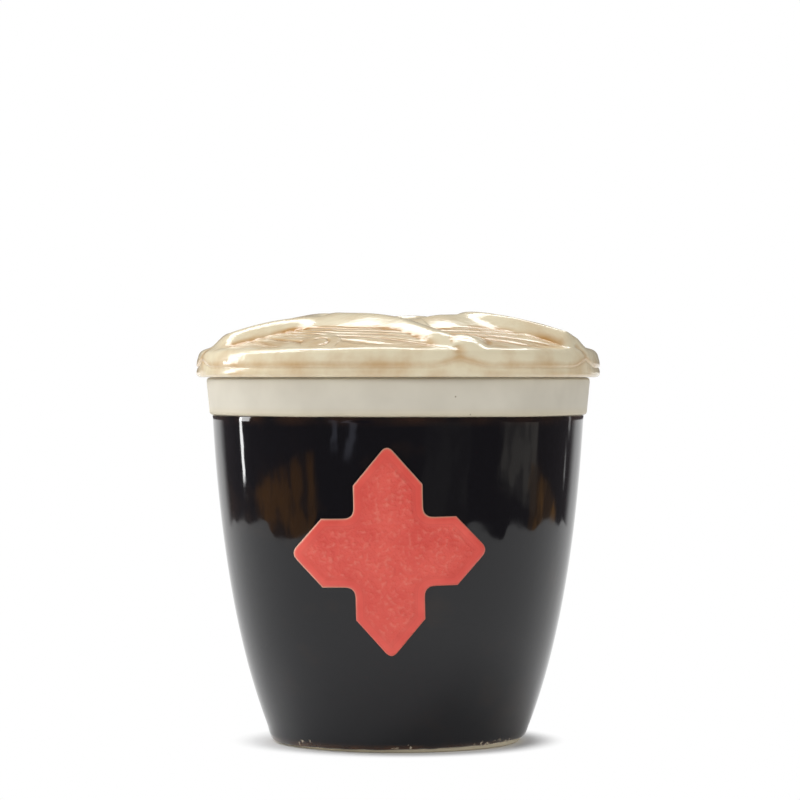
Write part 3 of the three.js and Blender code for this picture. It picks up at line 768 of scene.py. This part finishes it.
def makeRoom():
    world = bpy.data.worlds.new("studio")
    bpy.context.scene.world = world
    world.use_nodes = True
    tree = world.node_tree
    tree.nodes.clear()
    rays = addNode(tree, "ShaderNodeLightPath")
    facing = addNode(tree, "ShaderNodeTexCoord").outputs["Generated"]
    heading = addNode(tree, "ShaderNodeSeparateXYZ", None, {0: facing})
    behind = addNode(tree, "ShaderNodeMapRange",
                     {"interpolation_type": "SMOOTHSTEP", "From Min": room["sweepFrom"],
                      "From Max": room["sweepFull"]}, {"Value": heading.outputs["Y"]})
    below = addNode(tree, "ShaderNodeMapRange",
                    {"From Min": room["horizon"], "From Max": room["horizonFull"]},
                    {"Value": heading.outputs["Z"]})
    sweep = addNode(tree, "ShaderNodeMath", {"operation": "MULTIPLY"},
                    {0: behind.outputs["Result"], 1: below.outputs["Result"]})
    toFront = addNode(tree, "ShaderNodeMath", {"operation": "MULTIPLY", 1: -1.0}, {0: heading.outputs["Y"]})
    radians = addNode(tree, "ShaderNodeMath", {"operation": "ARCTAN2"},
                      {0: heading.outputs["X"], 1: toFront.outputs[0]})
    degrees = addNode(tree, "ShaderNodeMath", {"operation": "DEGREES"}, {0: radians.outputs[0]})
    # Uneven shapes sway the glimpses' sides and break them up
    spread = addNode(tree, "ShaderNodeMapping", {"Scale": room["shapes"]}, {"Vector": facing})
    shapes = addNode(tree, "ShaderNodeTexNoise", {"Scale": 1.0, "Detail": 2.0},
                     {"Vector": spread.outputs[0]})
    there = addNode(tree, "ShaderNodeMapRange", {"From Min": 0.44, "From Max": 0.54},
                    {"Value": shapes.outputs["Fac"]})
    sway = addNode(tree, "ShaderNodeMath",
                   {"operation": "MULTIPLY_ADD", 1: room["sway"], 2: -0.5 * room["sway"]},
                   {0: shapes.outputs["Fac"]})
    bearing = addNode(tree, "ShaderNodeMath", {"operation": "ADD"},
                      {0: degrees.outputs[0], 1: sway.outputs[0]})
    view = None
    for middle, half, low, high, colour, broken in glimpses.values():
        sideways = addNode(tree, "ShaderNodeMath", {"operation": "SUBTRACT", 1: middle},
                           {0: bearing.outputs[0]})
        upward = addNode(tree, "ShaderNodeMath", {"operation": "SUBTRACT", 1: (low + high) / 2},
                         {0: heading.outputs["Z"]})
        within = []
        for offset, reach, soft in ((sideways, half, room["softSide"]),
                                    (upward, (high - low) / 2, room["softEnd"])):
            size = addNode(tree, "ShaderNodeMath", {"operation": "ABSOLUTE"}, {0: offset.outputs[0]})
            within.append(addNode(tree, "ShaderNodeMapRange",
                                  {"From Min": reach + soft, "From Max": reach - soft},
                                  {"Value": size.outputs[0]}))
        inside = addNode(tree, "ShaderNodeMath", {"operation": "MULTIPLY"},
                         {0: within[0].outputs["Result"], 1: within[1].outputs["Result"]})
        patchy = addNode(tree, "ShaderNodeMapRange", {"To Min": 1 - broken},
                         {"Value": there.outputs["Result"]})
        share = addNode(tree, "ShaderNodeMath", {"operation": "MULTIPLY"},
                        {0: inside.outputs[0], 1: patchy.outputs["Result"]})
        glimpse = addNode(tree, "ShaderNodeMix",
                          {"data_type": "RGBA", 6: hexColour(room["walls"]), 7: hexColour(colour)},
                          {0: share.outputs[0]})
        if view is not None:
            tree.links.new(view, glimpse.inputs[6])
        view = glimpse.outputs[2]
    mirrored = addNode(tree, "ShaderNodeMix", {"data_type": "RGBA", 7: hexColour("FFFFFF")},
                       {0: sweep.outputs[0], 6: view})
    reflected = addNode(tree, "ShaderNodeBackground", None, {"Color": mirrored.outputs[2]})
    fill = addNode(tree, "ShaderNodeBackground", {"Color": hexColour("FFFFFF"), "Strength": room["fill"]})
    gloss = addNode(tree, "ShaderNodeMixShader", None,
                    {0: rays.outputs["Is Glossy Ray"], 1: fill.outputs[0], 2: reflected.outputs[0]})
    seen = addNode(tree, "ShaderNodeMath", {"operation": "MAXIMUM"},
                   {0: rays.outputs["Is Camera Ray"], 1: rays.outputs["Is Transmission Ray"]})
    white = addNode(tree, "ShaderNodeBackground", {"Color": hexColour("FFFFFF")})
    both = addNode(tree, "ShaderNodeMixShader", None,
                   {0: seen.outputs[0], 1: gloss.outputs[0], 2: white.outputs[0]})
    addNode(tree, "ShaderNodeOutputWorld", None, {"Surface": both.outputs[0]})


# Soft boxes: place, what they face, width and height in metres, power in watts, seen in the gloss or not
lamps = {
    "keyBox": ((-0.66, -0.86, 0.5), (0, 0, 0.07), 0.5, 0.5, 5.6, False),
    "fillBox": ((1.05, -0.4, 0.4), (0, 0, 0.07), 0.5, 0.5, 4.0, False),
    "backBox": ((-0.12, 0.56, 0.9), (0, 0, 0.1), 1.1, 0.28, 5.0, True),
    "leftBox": ((-0.76, 0.24, 0.55), (0, 0, 0.09), 0.2, 1.15, 5.2, True),
    "leftStrip": ((-0.79, 0.31, 0.08), (0, 0, 0.08), 0.04, 0.24, 0.35, True),
    "rightStrip": ((0.64, 0.56, 0.2), (0, 0, 0.08), 0.05, 0.36, 0.045, True),
}


def makeLamps():
    for name, (place, target, width, height, power, inGloss) in lamps.items():
        light = bpy.data.lights.new(name, "AREA")
        light.shape = "RECTANGLE"
        light.size, light.size_y = width, height
        light.energy = power
        lamp = bpy.data.objects.new(name, light)
        lamp.location = place
        lamp.visible_glossy = inGloss
        lamp.rotation_euler = (Vector(target) - Vector(place)).to_track_quat("-Z", "Y").to_euler()
        bpy.context.scene.collection.objects.link(lamp)


# Almost level with the jar's rim, from 85 cm away
camera = {"place": (0.45, -850, 89.85), "lookDown": 0.368, "focalPixels": 3425, "imagePixels": 800,
          "sensor": 36}


def makeCamera():
    data = bpy.data.cameras.new("photoCamera")
    data.sensor_width = camera["sensor"]
    data.lens = camera["sensor"] * camera["focalPixels"] / camera["imagePixels"]
    data.clip_start = 0.01
    eye = bpy.data.objects.new("photoCamera", data)
    eye.location = Vector(camera["place"]) * mm
    eye.rotation_euler = (math.radians(90 - camera["lookDown"]), 0, 0)
    bpy.context.scene.collection.objects.link(eye)
    bpy.context.scene.camera = eye


makeTable()
makeRoom()
makeLamps()
makeCamera()
bpy.context.scene.view_settings.view_transform = "Standard"
print("table, room, lamps and camera set")
